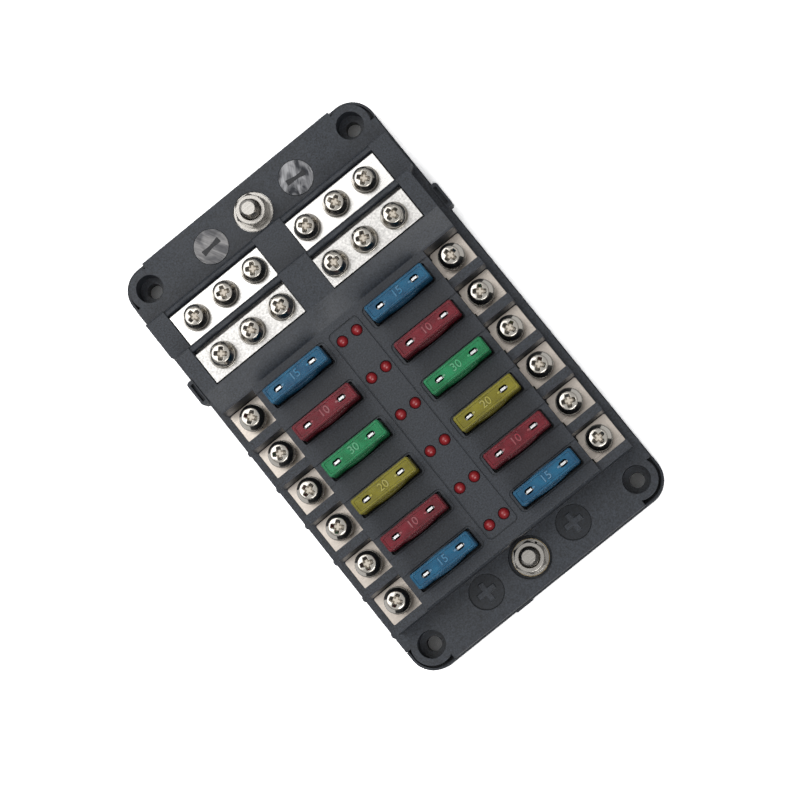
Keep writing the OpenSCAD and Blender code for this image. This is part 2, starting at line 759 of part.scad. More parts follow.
window_x = blade_pitch / 2 - 0.2;
element_gap = 0.13;
case_room = 2.4;
panel_d = 0.2;
panel_rim = 0.7;
tab_w = 1.7;
tab_rise = 1.6;
module fuse_case() {
    head_r = 0.7;
    belly_l = fuse_l * 0.58;
    belly_r = (belly_l * belly_l / 4 + belly * belly) / (2 * belly);
    belly_h = fuse_h * 0.74;
    translate([fuse_x, 0, fuse_foot]) difference() {
        union() {
            linear_extrude(fuse_h - 0.4) round_rect(fuse_l, fuse_t, head_r);
            translate([0, 0, fuse_h - 0.41]) linear_extrude(0.41)
                round_rect(fuse_l - 0.5, fuse_t - 0.5, head_r - 0.2);
            // Belly: a shallow arc on each long face, below the head
            for (sy = sides) linear_extrude(belly_h) intersection() {
                translate([0, sy * (fuse_t / 2 + belly - belly_r)]) circle(belly_r, $fn = 160);
                translate([0, sy * (fuse_t / 2 + belly / 2)])
                    square([belly_l, belly + 0.02], center = true);
            }
        }
        // Room for the blades and the link
        span([-blade_pitch / 2 - blade_w / 2 - element_gap, -blade_t / 2 - element_gap, -1],
             [blade_pitch / 2 + blade_w / 2 + element_gap, blade_t / 2 + element_gap, fuse_h - case_room + element_gap]);
        span([-2.6, -1.4, 2], [2.6, 1.4, fuse_h - case_room - 1]);
        // Shallow panel in the top, and a test window over each blade
        translate([0, 0, fuse_h - panel_d]) linear_extrude(1)
            round_rect(fuse_l - 2 * panel_rim, fuse_t - 2 * panel_rim, 0.4);
        for (sx = sides) translate([sx * window_x, 0, fuse_h - case_room - 1])
            linear_extrude(case_room + 2) round_rect(2.6, 1.6, 0.75);
    }
}

// One stamped piece: two blades and the thin curved link between them
module fuse_element() {
    link_r = (blade_pitch - blade_w) / 2 + 0.5;
    link_w = 0.9;
    color(silver) translate([fuse_x, 0, 0]) along_y(blade_t) {
        for (sx = sides) translate([sx * blade_pitch / 2 - blade_w / 2, blade_tip]) {
            translate([0.8, 0]) square([blade_w - 1.6, 1]);
            polygon([[0.8, 0], [blade_w - 0.8, 0], [blade_w, 1], [blade_w, fuse_top - case_room - blade_tip],
                     [0, fuse_top - case_room - blade_tip], [0, 1]]);
        }
        // Test tabs that stand up into the windows
        for (sx = sides) translate([sx * window_x - tab_w / 2, fuse_top - case_room - 0.01])
            square([tab_w, tab_rise]);
        translate([0, fuse_foot + fuse_h * 0.36]) intersection() {
            difference() {
                circle(link_r);
                circle(link_r - link_w);
            }
            translate([-link_r, 0]) square([2 * link_r, link_r]);
        }
    }
}

// Lamps and their board

module lamp_board() {
    low = row_y(rows - 1) - board_margin;
    high = row_y(0) + board_margin;
    color([0.1, 0.35, 0.2]) span([-board_w / 2, low, board_z - board_t], [board_w / 2, high, board_z]);
}

module lamps() {
    dome_z = bank_z + lamp_stand - lamp_d / 2;
    color([0.7, 0.08, 0.08]) for (side = sides, i = [0:rows - 1])
        translate([side * lamp_pitch / 2, row_y(i), 0]) {
            translate([0, 0, board_z]) cylinder(d = lamp_d, h = dome_z - board_z);
            translate([0, 0, board_z]) cylinder(d = lamp_d + 0.5, h = 1);
            translate([0, 0, dome_z]) intersection() {
                sphere(d = lamp_d);
                cylinder(d = lamp_d + 1, h = lamp_d);
            }
        }
}

module lamp_resistors() {
    color([0.1, 0.1, 0.1]) for (side = sides, i = [0:rows - 1])
        translate([side * lamp_pitch / 2, row_y(i) - 3.4, board_z - board_t - 0.3])
            cube([3.2, 1.6, 0.6], center = true);
}

module minus_disc(side) {
    color(silver) translate([side * disc_x, body_l / 2 - disc_inset, deck_z - disc_t])
        cylinder(d = disc_d, h = disc_t + 0.1);
}

// Every node by its name

housing();
base_plate();
base_screws();
positive_bus();
negative_bus();
at_positive() stud(bus_top, positive_free);  // positive_stud
at_negative() stud(tongue_top, negative_free);  // negative_stud
at_positive() stud_nut(bus_top);  // positive_nut
at_negative() stud_nut(tongue_top);  // negative_nut
at_positive() spring_washer(bus_top);  // positive_spring_washer
at_negative() spring_washer(tongue_top);  // negative_spring_washer
at_positive() flat_washer(bus_top, recess_washer_d);  // positive_flat_washer
at_negative() flat_washer(tongue_top, washer_d);  // negative_flat_washer
feed_clips();
terminal_screws();
bus_screws();
lamp_board();
lamps();
lamp_resistors();
minus_disc(-1);  // minus_disc_left
minus_disc(1);  // minus_disc_right
for (side = ["left", "right"], i = [1:rows]) translate([0, row_y(i - 1), 0])
    mirror([side == "left" ? 1 : 0, 0, 0]) {
        output_terminal();
        color(fuse_colours[i - 1]) fuse_case();
        fuse_element();
    }
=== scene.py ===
import math

import bpy
import bmesh
from mathutils import Matrix, Vector


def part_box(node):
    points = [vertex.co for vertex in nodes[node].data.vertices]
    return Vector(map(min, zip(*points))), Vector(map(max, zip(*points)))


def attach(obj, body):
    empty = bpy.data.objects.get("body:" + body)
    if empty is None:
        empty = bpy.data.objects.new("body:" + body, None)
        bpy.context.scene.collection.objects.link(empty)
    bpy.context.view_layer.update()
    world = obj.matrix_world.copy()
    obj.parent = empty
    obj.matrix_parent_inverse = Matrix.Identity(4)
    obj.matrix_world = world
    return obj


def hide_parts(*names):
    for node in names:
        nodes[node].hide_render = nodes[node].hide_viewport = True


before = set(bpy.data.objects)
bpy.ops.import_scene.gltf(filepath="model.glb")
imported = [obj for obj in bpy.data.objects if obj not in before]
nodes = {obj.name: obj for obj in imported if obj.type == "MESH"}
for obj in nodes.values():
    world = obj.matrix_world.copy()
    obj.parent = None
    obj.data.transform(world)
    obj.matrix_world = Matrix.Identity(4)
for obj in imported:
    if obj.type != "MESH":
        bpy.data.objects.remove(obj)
scene = bpy.context.scene
scene.view_settings.view_transform = "Standard"
mm = 0.001
sides = {"left": -1, "right": 1}
rowCount = 6


def boxOf(node):
    low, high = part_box(node)
    return Vector(low), Vector(high)


def middle(node):
    low, high = boxOf(node)
    return (low + high) / 2


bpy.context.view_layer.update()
print("frame loaded:", len(nodes), "nodes")


# Shader helpers

def newGroup(name, inputs, outputs):
    group = bpy.data.node_groups.new(name, "ShaderNodeTree")
    for label, kind, value in inputs:
        socket = group.interface.new_socket(name=label, in_out="INPUT", socket_type=kind)
        if value is not None:
            socket.default_value = value
    for label, kind in outputs:
        group.interface.new_socket(name=label, in_out="OUTPUT", socket_type=kind)
    return group, group.nodes.new("NodeGroupInput"), group.nodes.new("NodeGroupOutput")


def addNode(tree, kind, settings=None, **values):
    node = tree.nodes.new(kind)
    for key, value in (settings or {}).items():
        setattr(node, key, value)
    for key, value in values.items():
        node.inputs[key].default_value = value
    return node


def mathNode(tree, operation, first, second, clamp=False):
    node = tree.nodes.new("ShaderNodeMath")
    node.operation = operation
    node.use_clamp = clamp
    for slot, value in ((0, first), (1, second)):
        if isinstance(value, (int, float)):
            node.inputs[slot].default_value = value
        else:
            tree.links.new(value, node.inputs[slot])
    return node.outputs[0]


def mapRange(tree, value, fromLow, fromHigh, toLow, toHigh):
    node = tree.nodes.new("ShaderNodeMapRange")
    node.inputs["From Min"].default_value = fromLow
    node.inputs["From Max"].default_value = fromHigh
    node.inputs["To Min"].default_value = toLow
    node.inputs["To Max"].default_value = toHigh
    tree.links.new(value, node.inputs["Value"])
    return node.outputs["Result"]


def mixColour(tree, factor, first, second):
    node = tree.nodes.new("ShaderNodeMix")
    node.data_type = "RGBA"
    for slot, value in ((0, factor), (6, first), (7, second)):
        if isinstance(value, (int, float)):
            node.inputs[slot].default_value = value
        elif isinstance(value, (tuple, list)):
            node.inputs[slot].default_value = (*value, 1)
        else:
            tree.links.new(value, node.inputs[slot])
    return node.outputs[2]


# fine moulded grain with a slow drift in tone
def buildMouldGrain():
    group, start, end = newGroup(
        "mouldGrain",
        [("Vector", "NodeSocketVector", None), ("Grain Scale", "NodeSocketFloat", 3000.0),
         ("Drift Scale", "NodeSocketFloat", 60.0)],
        [("Grain", "NodeSocketFloat"), ("Drift", "NodeSocketFloat")])
    fine = addNode(group, "ShaderNodeTexNoise", Detail=3.0, Roughness=0.65)
    slow = addNode(group, "ShaderNodeTexNoise", Detail=4.0, Roughness=0.55)
    group.links.new(start.outputs["Vector"], fine.inputs["Vector"])
    group.links.new(start.outputs["Vector"], slow.inputs["Vector"])
    group.links.new(start.outputs["Grain Scale"], fine.inputs["Scale"])
    group.links.new(start.outputs["Drift Scale"], slow.inputs["Scale"])
    group.links.new(fine.outputs[0], end.inputs["Grain"])
    group.links.new(slow.outputs[0], end.inputs["Drift"])
    return group


# rounds the look of sharp edges and gives a mask of where they are
def buildEdgeTouch():
    group, start, end = newGroup(
        "edgeTouch",
        [("Sharpness", "NodeSocketFloat", 6.0)],
        [("Mask", "NodeSocketFloat"), ("Normal", "NodeSocketVector")])
    bevel = addNode(group, "ShaderNodeBevel", {"samples": 4}, Radius=0.00022)
    geometry = group.nodes.new("ShaderNodeNewGeometry")
    dot = addNode(group, "ShaderNodeVectorMath", {"operation": "DOT_PRODUCT"})
    group.links.new(bevel.outputs[0], dot.inputs[0])
    group.links.new(geometry.outputs["Normal"], dot.inputs[1])
    away = mathNode(group, "SUBTRACT", 1.0, dot.outputs["Value"])
    mask = mathNode(group, "MULTIPLY", away, start.outputs["Sharpness"], clamp=True)
    group.links.new(mask, end.inputs["Mask"])
    group.links.new(bevel.outputs[0], end.inputs["Normal"])
    return group


# fine lines drawn out one way, for rolled sheet and foil
def buildBrushLines():
    group, start, end = newGroup(
        "brushLines",
        [("Vector", "NodeSocketVector", None), ("Line Scale", "NodeSocketFloat", 2500.0),
         ("Speck Scale", "NodeSocketFloat", 1800.0)],
        [("Lines", "NodeSocketFloat"), ("Specks", "NodeSocketFloat")])
    stretch = addNode(group, "ShaderNodeMapping")
    stretch.inputs["Scale"].default_value = (0.05, 1.0, 1.0)
    lines = addNode(group, "ShaderNodeTexNoise", Detail=2.0, Roughness=0.6)
    specks = addNode(group, "ShaderNodeTexNoise", Detail=5.0, Roughness=0.7)
    group.links.new(start.outputs["Vector"], stretch.inputs["Vector"])
    group.links.new(stretch.outputs[0], lines.inputs["Vector"])
    group.links.new(start.outputs["Vector"], specks.inputs["Vector"])
    group.links.new(start.outputs["Line Scale"], lines.inputs["Scale"])
    group.links.new(start.outputs["Speck Scale"], specks.inputs["Scale"])
    group.links.new(lines.outputs[0], end.inputs["Lines"])
    group.links.new(specks.outputs[0], end.inputs["Specks"])
    return group


# painted shade: a mask that paints the surface darker where it is shut in
def buildPaintedCornerShade():
    group, start, end = newGroup(
        "paintedCornerShade",
        [("Reach", "NodeSocketFloat", 0.0012)],
        [("Mask", "NodeSocketFloat")])
    shut = addNode(group, "ShaderNodeAmbientOcclusion", {"samples": 4, "only_local": True})
    group.links.new(start.outputs["Reach"], shut.inputs["Distance"])
    mask = mapRange(group, shut.outputs["AO"], 0.35, 0.95, 1.0, 0.0)
    group.links.new(mask, end.inputs["Mask"])
    return group


# how far a place is shut in by everything round it
def buildShutIn():
    group, start, end = newGroup(
        "shutIn",
        [("Reach", "NodeSocketFloat", 0.006)],
        [("Mask", "NodeSocketFloat")])
    around = addNode(group, "ShaderNodeAmbientOcclusion", {"samples": 6})
    group.links.new(start.outputs["Reach"], around.inputs["Distance"])
    group.links.new(mapRange(group, around.outputs["AO"], 0.3, 0.85, 1.0, 0.0), end.inputs["Mask"])
    return group


mouldGrain = buildMouldGrain()
edgeTouch = buildEdgeTouch()
brushLines = buildBrushLines()
paintedCornerShade = buildPaintedCornerShade()
shutIn = buildShutIn()


def groupNode(tree, group, **values):
    node = tree.nodes.new("ShaderNodeGroup")
    node.node_tree = group
    for key, value in values.items():
        node.inputs[key.replace("_", " ")].default_value = value
    return node


def newMaterial(name):
    material = bpy.data.materials.new(name)
    material.use_nodes = True
    tree = material.node_tree
    tree.nodes.clear()
    shader = tree.nodes.new("ShaderNodeBsdfPrincipled")
    output = tree.nodes.new("ShaderNodeOutputMaterial")
    place = tree.nodes.new("ShaderNodeTexCoord")
    tree.links.new(shader.outputs[0], output.inputs["Surface"])
    return material, tree, shader, place.outputs["Object"]


def addBump(tree, shader, height, strength, distance, normal=None):
    bump = addNode(tree, "ShaderNodeBump", Strength=strength, Distance=distance)
    tree.links.new(height, bump.inputs["Height"])
    if normal is not None:
        tree.links.new(normal, bump.inputs["Normal"])
    tree.links.new(bump.outputs[0], shader.inputs["Normal"])


# Finishes

plasticLook = {
    "tone": (0.023, 0.028, 0.037),
    "wornEdgeAndHighlight": (0.090, 0.096, 0.108),
    "roughness": (0.36, 0.52),
    "edgeRoughness": 0.26,
    "speck": (0.2, 1.8),  # darkest and palest grain, as shares of the tone
    "drift": 1.18,  # how much paler the slow clouds are
    "grainScale": 2300.0,
    "grainDepth": 0.00006,
}


def makePlastic(name, look):
    material, tree, shader, place = newMaterial(name)
    grain = groupNode(tree, mouldGrain, Grain_Scale=look["grainScale"], Drift_Scale=55.0)
    tree.links.new(place, grain.inputs["Vector"])
    edge = groupNode(tree, edgeTouch, Sharpness=5.0)
    speck = mapRange(tree, grain.outputs["Grain"], 0.3, 0.7, *look["speck"])
    paler = tuple(c * look["drift"] for c in look["tone"])
    drift = mixColour(tree, mapRange(tree, grain.outputs["Drift"], 0.35, 0.65, 0.0, 1.0), look["tone"], paler)
    scaled = addNode(tree, "ShaderNodeVectorMath", {"operation": "SCALE"})
    tree.links.new(drift, scaled.inputs[0])
    tree.links.new(speck, scaled.inputs["Scale"])
    # the edges are painted paler: partly wear, partly a painted highlight
    edgeWearAndHighlight = mathNode(tree, "MULTIPLY", edge.outputs["Mask"], grain.outputs["Drift"], clamp=True)
    colour = mixColour(tree, edgeWearAndHighlight, scaled.outputs[0], look["wornEdgeAndHighlight"])
    tree.links.new(colour, shader.inputs["Base Color"])
    matt = mapRange(tree, grain.outputs["Drift"], 0.3, 0.7, *look["roughness"])
    rubbed = mixColour(tree, edge.outputs["Mask"], matt, (look["edgeRoughness"],) * 3)
    tree.links.new(rubbed, shader.inputs["Roughness"])
    shader.inputs["IOR"].default_value = 1.5
    addBump(tree, shader, grain.outputs["Grain"], 0.55, look["grainDepth"], edge.outputs["Normal"])
    return material


# tone is the clean metal and shade the darker colour painted into its corners as shade; a look without speck
# entries has no specks
metalLooks = {
    "sheet": {"name": "tinPlatedSheet", "tone": (0.96, 0.94, 0.91), "shade": (0.36, 0.33, 0.29),
              "roughness": (0.24, 0.38), "speckDepth": 0.000004, "speckTone": 0.12,
              "mattWithPaintedMottle": {"above": 0.024, "tones": (0.56, 0.92), "roughness": 0.42}},
    "terminal": {"name": "tinPlatedTerminal", "tone": (0.69, 0.62, 0.55), "shade": (0.20, 0.17, 0.14),
                 "roughness": (0.26, 0.4), "speckDepth": 0.000004, "speckTone": 0.14},
    "screw": {"name": "nickelScrew", "tone": (0.56, 0.53, 0.48), "shade": (0.07, 0.06, 0.05),
              "roughness": (0.12, 0.22)},
    "recess": {"name": "screwRecess", "tone": (0.72, 0.65, 0.55), "shade": (0.6, 0.53, 0.44),
               "roughness": (0.35, 0.5), "metallic": 0.1},
    "stud": {"name": "turnedSteel", "tone": (0.44, 0.42, 0.39), "shade": (0.09, 0.08, 0.075),
             "roughness": (0.16, 0.3)},
    "brass": {"name": "bareBrass", "tone": (0.72, 0.56, 0.30), "shade": (0.2, 0.13, 0.06),
              "roughness": (0.25, 0.4)},
    "zinc": {"name": "stampedZinc", "tone": (0.86, 0.86, 0.86), "shade": (0.4, 0.4, 0.4),
             "roughness": (0.22, 0.36)},
}


def makeMetal(look):
    material, tree, shader, place = newMaterial(look["name"])
    lines = groupNode(tree, brushLines, Line_Scale=2600.0, Speck_Scale=1700.0)
    tree.links.new(place, lines.inputs["Vector"])
    cornerShade = groupNode(tree, paintedCornerShade, Reach=0.0011)
    speck = mapRange(tree, lines.outputs["Specks"], 0.35, 0.65, 1.0 - look.get("speckTone", 0.0), 1.0)
    polish = mapRange(tree, lines.outputs["Lines"], 0.3, 0.7, *look["roughness"])
    if "mattWithPaintedMottle" in look:
        # above this height the sheet is matt, and its tone is painted darker and speckled: a painted uneven
        # reflection
        mattWithPaintedMottle = look["mattWithPaintedMottle"]
        parts = tree.nodes.new("ShaderNodeSeparateXYZ")
        tree.links.new(place, parts.inputs[0])
        matt = mapRange(tree, parts.outputs["Z"], mattWithPaintedMottle["above"], mattWithPaintedMottle["above"] + 0.2 * mm, 0.0, 1.0)
        paintedMottle = mapRange(tree, lines.outputs["Specks"], 0.36, 0.64, *mattWithPaintedMottle["tones"])
        speck = mixColour(tree, matt, speck, paintedMottle)
        polish = mixColour(tree, matt, polish, (mattWithPaintedMottle["roughness"],) * 3)
    scaled = addNode(tree, "ShaderNodeVectorMath", {"operation": "SCALE"})
    scaled.inputs[0].default_value = look["tone"]
    tree.links.new(speck, scaled.inputs["Scale"])
    # painted shade: the shut-in corners are painted towards the shade colour
    cornerShadeShare = mathNode(tree, "MULTIPLY", cornerShade.outputs["Mask"], 0.8)
    colour = mixColour(tree, cornerShadeShare, scaled.outputs[0], look["shade"])
    tree.links.new(colour, shader.inputs["Base Color"])
    shader.inputs["Metallic"].default_value = look.get("metallic", 1.0)
    tree.links.new(polish, shader.inputs["Roughness"])
    # the depths are shares of the bump's distance
    distance, lineDepth = 0.00001, 0.000006
    drawn = mathNode(tree, "MULTIPLY", lines.outputs["Lines"], lineDepth / distance)
    pitted = mathNode(tree, "MULTIPLY", lines.outputs["Specks"], look.get("speckDepth", 0.0) / distance)
    edge = groupNode(tree, edgeTouch, Sharpness=4.0)
    addBump(tree, shader, mathNode(tree, "ADD", drawn, pitted), 1.0, distance, edge.outputs["Normal"])
    return material


# for each fuse colour its clear tone and the deeper tone of its clouds
tints = {
    "blue": ((0.020, 0.22, 0.42), (0.010, 0.12, 0.26)),
    "red": ((0.36, 0.020, 0.040), (0.20, 0.010, 0.022)),
    "green": ((0.025, 0.46, 0.17), (0.012, 0.30, 0.10)),
    "yellow": ((0.46, 0.41, 0.035), (0.32, 0.28, 0.02)),
}


tintLook = {"clear": 0.4, "raisedClear": 0.1, "roughness": (0.2, 0.34), "specular": 0.3,
            "grainDepth": 0.00004}


# clear coloured plastic of the fuse cases
def makeTint(name, tone, deep, clear, look):
    material, tree, shader, place = newMaterial(name)
    grain = groupNode(tree, mouldGrain, Grain_Scale=900.0, Drift_Scale=240.0)
    tree.links.new(place, grain.inputs["Vector"])
    edge = groupNode(tree, edgeTouch, Sharpness=5.0)
    cloudy = mapRange(tree, grain.outputs["Drift"], 0.35, 0.65, 0.0, 1.0)
    tint = mixColour(tree, cloudy, tone, deep)
    lit = mixColour(tree, mathNode(tree, "MULTIPLY", edge.outputs["Mask"], 0.5), tint,
                    tuple(min(1.0, c * 1.5 + 0.08) for c in tone))
    # the foot of a case is painted darker down in the row: a painted shade from how shut in it is
    depth = groupNode(tree, shutIn, Reach=0.006)
    sunk = mixColour(tree, depth.outputs["Mask"], lit, tuple(c * 0.3 for c in deep))
    tree.links.new(sunk, shader.inputs["Base Color"])
    gloss = mapRange(tree, grain.outputs["Grain"], 0.3, 0.7, *look["roughness"])
    tree.links.new(gloss, shader.inputs["Roughness"])
    shader.inputs["Transmission Weight"].default_value = clear
    shader.inputs["IOR"].default_value = 1.49
    shader.inputs["Specular IOR Level"].default_value = look["specular"]
    addBump(tree, shader, grain.outputs["Grain"], 0.35, look["grainDepth"], edge.outputs["Normal"])
    return material


lensLook = {"front": (0.34, 0.014, 0.020), "rim": (0.10, 0.003, 0.006), "speck": (0.42, 0.03, 0.035),
            "roughness": (0.24, 0.4), "coat": 0.4, "coatRoughness": 0.2, "clear": 0.1}


def makeLens(name, look):
    material, tree, shader, place = newMaterial(name)
    grain = groupNode(tree, mouldGrain, Grain_Scale=2600.0, Drift_Scale=500.0)
    tree.links.new(place, grain.inputs["Vector"])
    # the lens is painted darker towards its rim where it turns from the camera, a painted shade
    facing = addNode(tree, "ShaderNodeLayerWeight", Blend=0.35)
    tone = mixColour(tree, facing.outputs["Facing"], look["front"], look["rim"])
    specks = mapRange(tree, grain.outputs["Grain"], 0.35, 0.65, 0.0, 0.4)
    mottled = mixColour(tree, specks, tone, look["speck"])
    tree.links.new(mottled, shader.inputs["Base Color"])
    gloss = mapRange(tree, grain.outputs["Drift"], 0.3, 0.7, *look["roughness"])
    tree.links.new(gloss, shader.inputs["Roughness"])
    shader.inputs["Coat Weight"].default_value = look["coat"]
    shader.inputs["Coat Roughness"].default_value = look["coatRoughness"]
    shader.inputs["Transmission Weight"].default_value = look["clear"]
    addBump(tree, shader, grain.outputs["Grain"], 0.3, 0.00002)
    return material


# the two minus discs; turned is the way that their streaks run, in degrees
foilLooks = {
    "foilLight": {"name": "paleDisc", "dark": (0.10, 0.10, 0.105), "light": (0.24, 0.235, 0.235),
                  "rim": (0.45, 0.46, 0.48), "turned": 62},
    "foilDark": {"name": "darkDisc", "dark": (0.035, 0.037, 0.042), "light": (0.30, 0.30, 0.31),
                 "rim": (0.45, 0.46, 0.48), "turned": 118},
}


# worn foil: broad dark clouds drawn out one way, with fine streaks in them
def makeFoil(look):
    material, tree, shader, place = newMaterial(look["name"])
    turn = addNode(tree, "ShaderNodeMapping")
    turn.inputs["Rotation"].default_value = (0, 0, math.radians(look["turned"]))
    tree.links.new(place, turn.inputs["Vector"])
    lines = groupNode(tree, brushLines, Line_Scale=2400.0, Speck_Scale=900.0)
    tree.links.new(turn.outputs[0], lines.inputs["Vector"])
    stretch = addNode(tree, "ShaderNodeMapping")
    stretch.inputs["Scale"].default_value = (0.45, 1.0, 1.0)
    tree.links.new(turn.outputs[0], stretch.inputs["Vector"])
    clouds = addNode(tree, "ShaderNodeTexNoise", Scale=330.0, Detail=3.0, Roughness=0.5, Distortion=1.2)
    tree.links.new(stretch.outputs[0], clouds.inputs["Vector"])
    cloudy = mapRange(tree, clouds.outputs[0], 0.38, 0.62, 0.0, 1.0)
    tone = mixColour(tree, cloudy, look["dark"], look["light"])
    streak = mapRange(tree, lines.outputs["Lines"], 0.35, 0.65, 0.8, 1.2)
    scaled = addNode(tree, "ShaderNodeVectorMath", {"operation": "SCALE"})
    tree.links.new(tone, scaled.inputs[0])
    tree.links.new(streak, scaled.inputs["Scale"])
    edge = groupNode(tree, edgeTouch, Sharpness=6.0)
    # the disc's edge is painted paler: partly wear, partly a painted highlight
    rim = mixColour(tree, edge.outputs["Mask"], scaled.outputs[0], look["rim"])
    tree.links.new(rim, shader.inputs["Base Color"])
    shader.inputs["Metallic"].default_value = 0.85
    tree.links.new(mapRange(tree, lines.outputs["Specks"], 0.3, 0.7, 0.32, 0.5), shader.inputs["Roughness"])
    addBump(tree, shader, lines.outputs["Lines"], 0.5, 0.00001, edge.outputs["Normal"])
    return material


boardTones = {"dark": (0.02, 0.10, 0.05), "light": (0.04, 0.17, 0.08)}


def makeBoard(name, tones):
    material, tree, shader, place = newMaterial(name)
    grain = groupNode(tree, mouldGrain, Grain_Scale=2200.0, Drift_Scale=200.0)
    tree.links.new(place, grain.inputs["Vector"])
    tone = mixColour(tree, grain.outputs["Grain"], tones["dark"], tones["light"])
    tree.links.new(tone, shader.inputs["Base Color"])
    shader.inputs["Roughness"].default_value = 0.35
    addBump(tree, shader, grain.outputs["Grain"], 0.3, 0.00003)
    return material


markLook = dict(plasticLook, tone=(0.012, 0.013, 0.016), grainDepth=0.00001)
# the plus finish paints the hollow's floor darker than the deck, a painted shade, and its edges paler, partly
# wear and partly a painted highlight
plusLook = dict(plasticLook, tone=(0.010, 0.013, 0.018), wornEdgeAndHighlight=(0.24, 0.25, 0.27), roughness=(0.5, 0.62))
finishes = {
    "black": makePlastic("blackMouldedPlastic", plasticLook),
    "mark": makePlastic("darkMark", markLook),
    "plus": makePlastic("plusDiscPlastic", plusLook),
    "lens": makeLens("redLampLens", lensLook),
    "board": makeBoard("boardMask", boardTones),
}
for finish, look in metalLooks.items():
    finishes[finish] = makeMetal(look)
for finish, look in foilLooks.items():
    finishes[finish] = makeFoil(look)
for colour, (tone, deep) in tints.items():
    finishes[colour] = makeTint(f"{colour}FuseCase", tone, deep, tintLook["clear"], tintLook)
    # the raised numbers and pips take a paler copy of the case tint: a painted glint
    paintedGlintTone = tuple(c * 0.7 + 0.16 for c in tone)
    finishes[f"{colour}PaintedGlint"] = makeTint(f"{colour}RaisedWithPaintedGlint", paintedGlintTone, tone, tintLook["raisedClear"], tintLook)
print("finishes made:", len(finishes))


def dress(node, finish):
    materials = nodes[node].data.materials
    materials.clear()
    materials.append(finishes[finish])


fuseColours = ["blue", "red", "green", "yellow", "red", "blue"]
dressing = {
    "black": ["housing", "base_plate", "lamp_resistors"],
    "sheet": ["negative_bus"],
    "screw": ["terminal_screws", "bus_screws", "base_screws"],
    "stud": [f"{end}_{part}" for end in ("positive", "negative")
             for part in ("stud", "nut", "spring_washer", "flat_washer")],
    "brass": ["positive_bus", "feed_clips"],
    "foilLight": ["minus_disc_left"],
    "foilDark": ["minus_disc_right"],
    "lens": ["lamps"],
    "board": ["lamp_board"],
}
for finish, names in dressing.items():
    for name in names:
        dress(name, finish)
for side in sides:
    for row in range(1, rowCount + 1):
        dress(f"output_terminal_{side}_{row}", "terminal")
        dress(f"fuse_element_{side}_{row}", "zinc")
        dress(f"fuse_case_{side}_{row}", fuseColours[row - 1])
print("CAD nodes dressed")


# Making pieces

def finishMesh(name, mesh, body, finish):
    piece = bpy.data.objects.new(name, mesh)
    scene.collection.objects.link(piece)
    mesh.materials.append(finishes[finish])
    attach(piece, body)
    return piece


def meshFrom(name, bm, smoothAngle=None):
    bmesh.ops.recalc_face_normals(bm, faces=bm.faces)
    mesh = bpy.data.meshes.new(name)
    bm.to_mesh(mesh)
    bm.free()
    if smoothAngle is not None:
        mesh.shade_smooth()
        mesh.set_sharp_from_angle(angle=math.radians(smoothAngle))
    return mesh


def bevelEdges(bm, edges, offset):
    bmesh.ops.bevel(bm, geom=edges, offset=offset, segments=2, profile=0.5,
                    affect="EDGES", material=-1, clamp_overlap=True)


roundSteps = 48  # faces round a turned piece


# a surface of revolution about Z from a chain of (radius, height) points
def spinProfile(bm, profile):
    verts = [bm.verts.new((radius, 0, height)) for radius, height in profile]
    edges = [bm.edges.new(pair) for pair in zip(verts, verts[1:])]
    bmesh.ops.spin(bm, geom=verts + edges, cent=(0, 0, 0), axis=(0, 0, 1), angle=2 * math.pi,
                   steps=roundSteps, use_merge=True)
    bmesh.ops.remove_doubles(bm, verts=bm.verts, dist=1e-7)


# distance from the middle of a cross to its outline
def crossRadius(angle, reach, half):
    across, along = abs(math.cos(angle)), abs(math.sin(angle))
    first = min(reach / max(across, 1e-6), half / max(along, 1e-6))
    second = min(reach / max(along, 1e-6), half / max(across, 1e-6))
    return max(first, second)


# a disc's top face with a cross sunk into it, or raised from it where depth is negative;
# taper narrows the cross, and the faces of the cross are returned
def crossTop(bm, radius, height, reach, half, depth, taper, segments=roundSteps):
    rim = bmesh.ops.create_circle(bm, cap_ends=False, radius=radius, segments=segments)["verts"]
    bmesh.ops.translate(bm, vec=(0, 0, height), verts=rim)
    cross = bmesh.ops.create_circle(bm, cap_ends=False, radius=1.0, segments=segments)["verts"]
    for vert in cross:
        length = crossRadius(math.atan2(vert.co.y, vert.co.x), reach, half)
        vert.co = Vector((vert.co.x * length, vert.co.y * length, height))
    rimEdges = list({edge for vert in rim for edge in vert.link_edges})
    crossEdges = list({edge for vert in cross for edge in vert.link_edges})
    bmesh.ops.bridge_loops(bm, edges=rimEdges + crossEdges)
    crossEdges = [e for e in {edge for vert in cross for edge in vert.link_edges}
                  if e.verts[0] in cross and e.verts[1] in cross]
    before = set(bm.faces)
    sunk = bmesh.ops.extrude_edge_only(bm, edges=crossEdges)["geom"]
    floorVerts = [item for item in sunk if isinstance(item, bmesh.types.BMVert)]
    floorEdges = [item for item in sunk if isinstance(item, bmesh.types.BMEdge)]
    bmesh.ops.translate(bm, vec=(0, 0, -depth), verts=floorVerts)
    bmesh.ops.scale(bm, vec=(taper, taper, 1), verts=floorVerts)
    bmesh.ops.edgeloop_fill(bm, edges=floorEdges)
    recess = [face for face in bm.faces if face not in before]
    bmesh.ops.remove_doubles(bm, verts=bm.verts, dist=1e-7)
    return [face for face in recess if face.is_valid]


# puts copies of a mesh into one bmesh, each turned about Z and moved to its place
def addCopies(bm, mesh, places, turns):
    for place, turn in zip(places, turns):
        bm.verts.ensure_lookup_table()
        count = len(bm.verts)
        bm.from_mesh(mesh)
        bm.verts.ensure_lookup_table()
        fresh = bm.verts[count:]
        bmesh.ops.rotate(bm, cent=(0, 0, 0), matrix=Matrix.Rotation(turn, 3, "Z"), verts=fresh)
        bmesh.ops.translate(bm, vec=place, verts=fresh)


